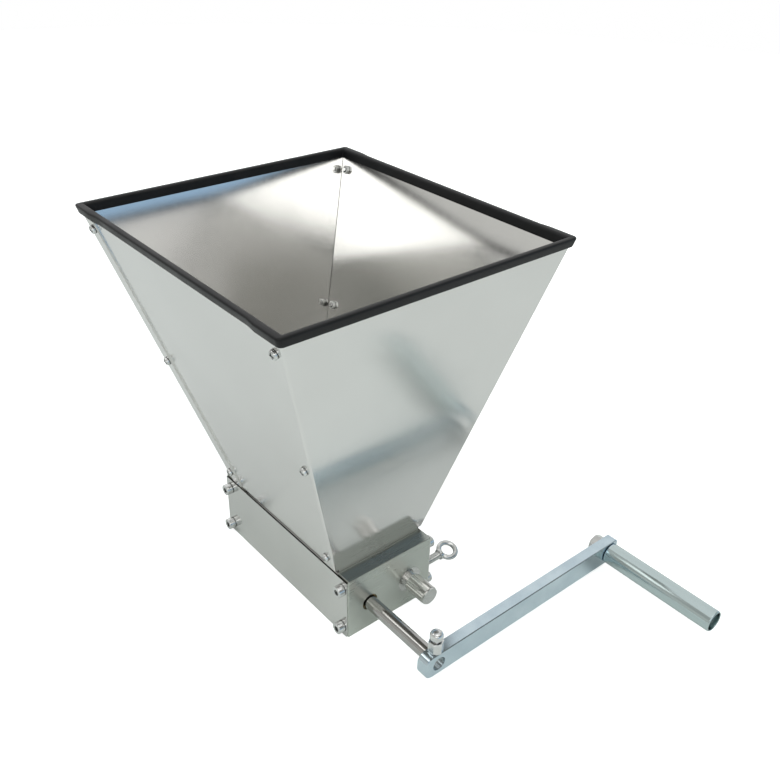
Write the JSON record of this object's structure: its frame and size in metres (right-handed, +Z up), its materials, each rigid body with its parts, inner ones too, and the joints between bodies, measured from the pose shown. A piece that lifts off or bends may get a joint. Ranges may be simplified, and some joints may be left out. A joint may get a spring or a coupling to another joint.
{
  "type": "grain mill",
  "caption": "Hand-cranked grain mill: fluted rollers with eccentric gap adjusters in a plate-and-cover body, under a tapered sheet-metal hopper with a black rim trim.",
  "frame": {"origin": "centre of the mounting holes on the base plane, midway between the end plates", "axes": "+X along the rollers to the crank end, -Y towards the front cover, +Z up"},
  "size_m": [0.3507, 0.2707, 0.272],
  "materials": {
    "hopper_steel": "polished stainless sheet with a fine brushed grain",
    "cover_steel": "polished stainless sheet",
    "plate_aluminium": "satin machined",
    "rim_rubber": "satin black",
    "zinc_fasteners": "bright zinc",
    "zinc_crank": "blue-white zinc plate",
    "roller_steel": "turned and fluted",
    "bush_bronze": "sintered bronze",
    "adjuster_steel": "turned, with a knurled knob",
    "lock_steel": "bright zinc"
  },
  "bodies": {
    "mill_body": {"drive_end_plate": "plate_aluminium", "far_end_plate": "plate_aluminium", "front_cover": "cover_steel", "rear_cover": "cover_steel", "cover_screws": "zinc_fasteners", "hopper_drive_side_panel": "hopper_steel", "hopper_far_side_panel": "hopper_steel", "hopper_front_panel": "hopper_steel", "hopper_rear_panel": "hopper_steel", "hopper_bolts": "zinc_fasteners", "hopper_nuts": "zinc_fasteners", "hopper_skirt_screws": "zinc_fasteners", "rim_trim": "rim_rubber", "drive_side_shaft_bush": "bush_bronze", "far_side_shaft_bush": "bush_bronze"},
    "drive_train": {"drive_roller": "roller_steel", "crank_arm": "zinc_crank", "crank_lock_nut": "zinc_fasteners", "handle_bolt": "zinc_fasteners", "handle_nut": "zinc_fasteners"},
    "clamp_screw": {"crank_clamp_screw": "zinc_fasteners"},
    "grip": {"crank_grip": "zinc_crank"},
    "drive_side_eccentric": {"drive_side_adjuster": "adjuster_steel", "drive_side_idler_bush": "bush_bronze"},
    "far_side_eccentric": {"far_side_adjuster": "adjuster_steel", "far_side_idler_bush": "bush_bronze"},
    "idler": {"idler_roller": "roller_steel"},
    "drive_side_lock": {"drive_side_lock_bolt": "lock_steel"},
    "far_side_lock": {"far_side_lock_bolt": "lock_steel"}
  },
  "joints": [
    {"name": "crank_turn", "type": "hinge", "parent": "mill_body", "child": "drive_train", "pos_m": [0, -0.0179, 0.0225], "axis": [1, 0, 0], "continuous": true},
    {"name": "grip_spin", "type": "hinge", "parent": "drive_train", "child": "grip", "pos_m": [0.19, 0.15509, 0.02099], "axis": [1, 0, 0], "continuous": true},
    {"name": "clamp_screw_turn", "type": "hinge", "parent": "drive_train", "child": "clamp_screw", "pos_m": [0.14275, -0.0179, 0.0225], "axis": [0, 0.0087, 1], "range_deg": [0, 360]},
    {"name": "gap_adjust", "type": "hinge", "parent": "mill_body", "child": "drive_side_eccentric", "pos_m": [0.07065, 0.0179, 0.0225], "axis": [1, 0, 0], "range_deg": [-120.83, 59.16]},
    {"name": "far_side_gap_adjust", "type": "hinge", "parent": "mill_body", "child": "far_side_eccentric", "pos_m": [-0.07065, 0.0179, 0.0225], "axis": [1, 0, 0], "range_deg": [-120.83, 59.16]},
    {"name": "idler_spin", "type": "hinge", "parent": "drive_side_eccentric", "child": "idler", "pos_m": [0, 0.01728, 0.02353], "axis": [1, 0, 0], "continuous": true},
    {"name": "drive_side_lock_turn", "type": "hinge", "parent": "mill_body", "child": "drive_side_lock", "pos_m": [0.07065, 0.0365, 0.0225], "axis": [0, 1, 0], "range_deg": [0, 360]},
    {"name": "far_side_lock_turn", "type": "hinge", "parent": "mill_body", "child": "far_side_lock", "pos_m": [-0.07065, 0.0365, 0.0225], "axis": [0, 1, 0], "range_deg": [0, 360]}
  ],
  "couplings": [
    {"joint": "far_side_gap_adjust", "follows": "gap_adjust", "ratio": 1}
  ]
}
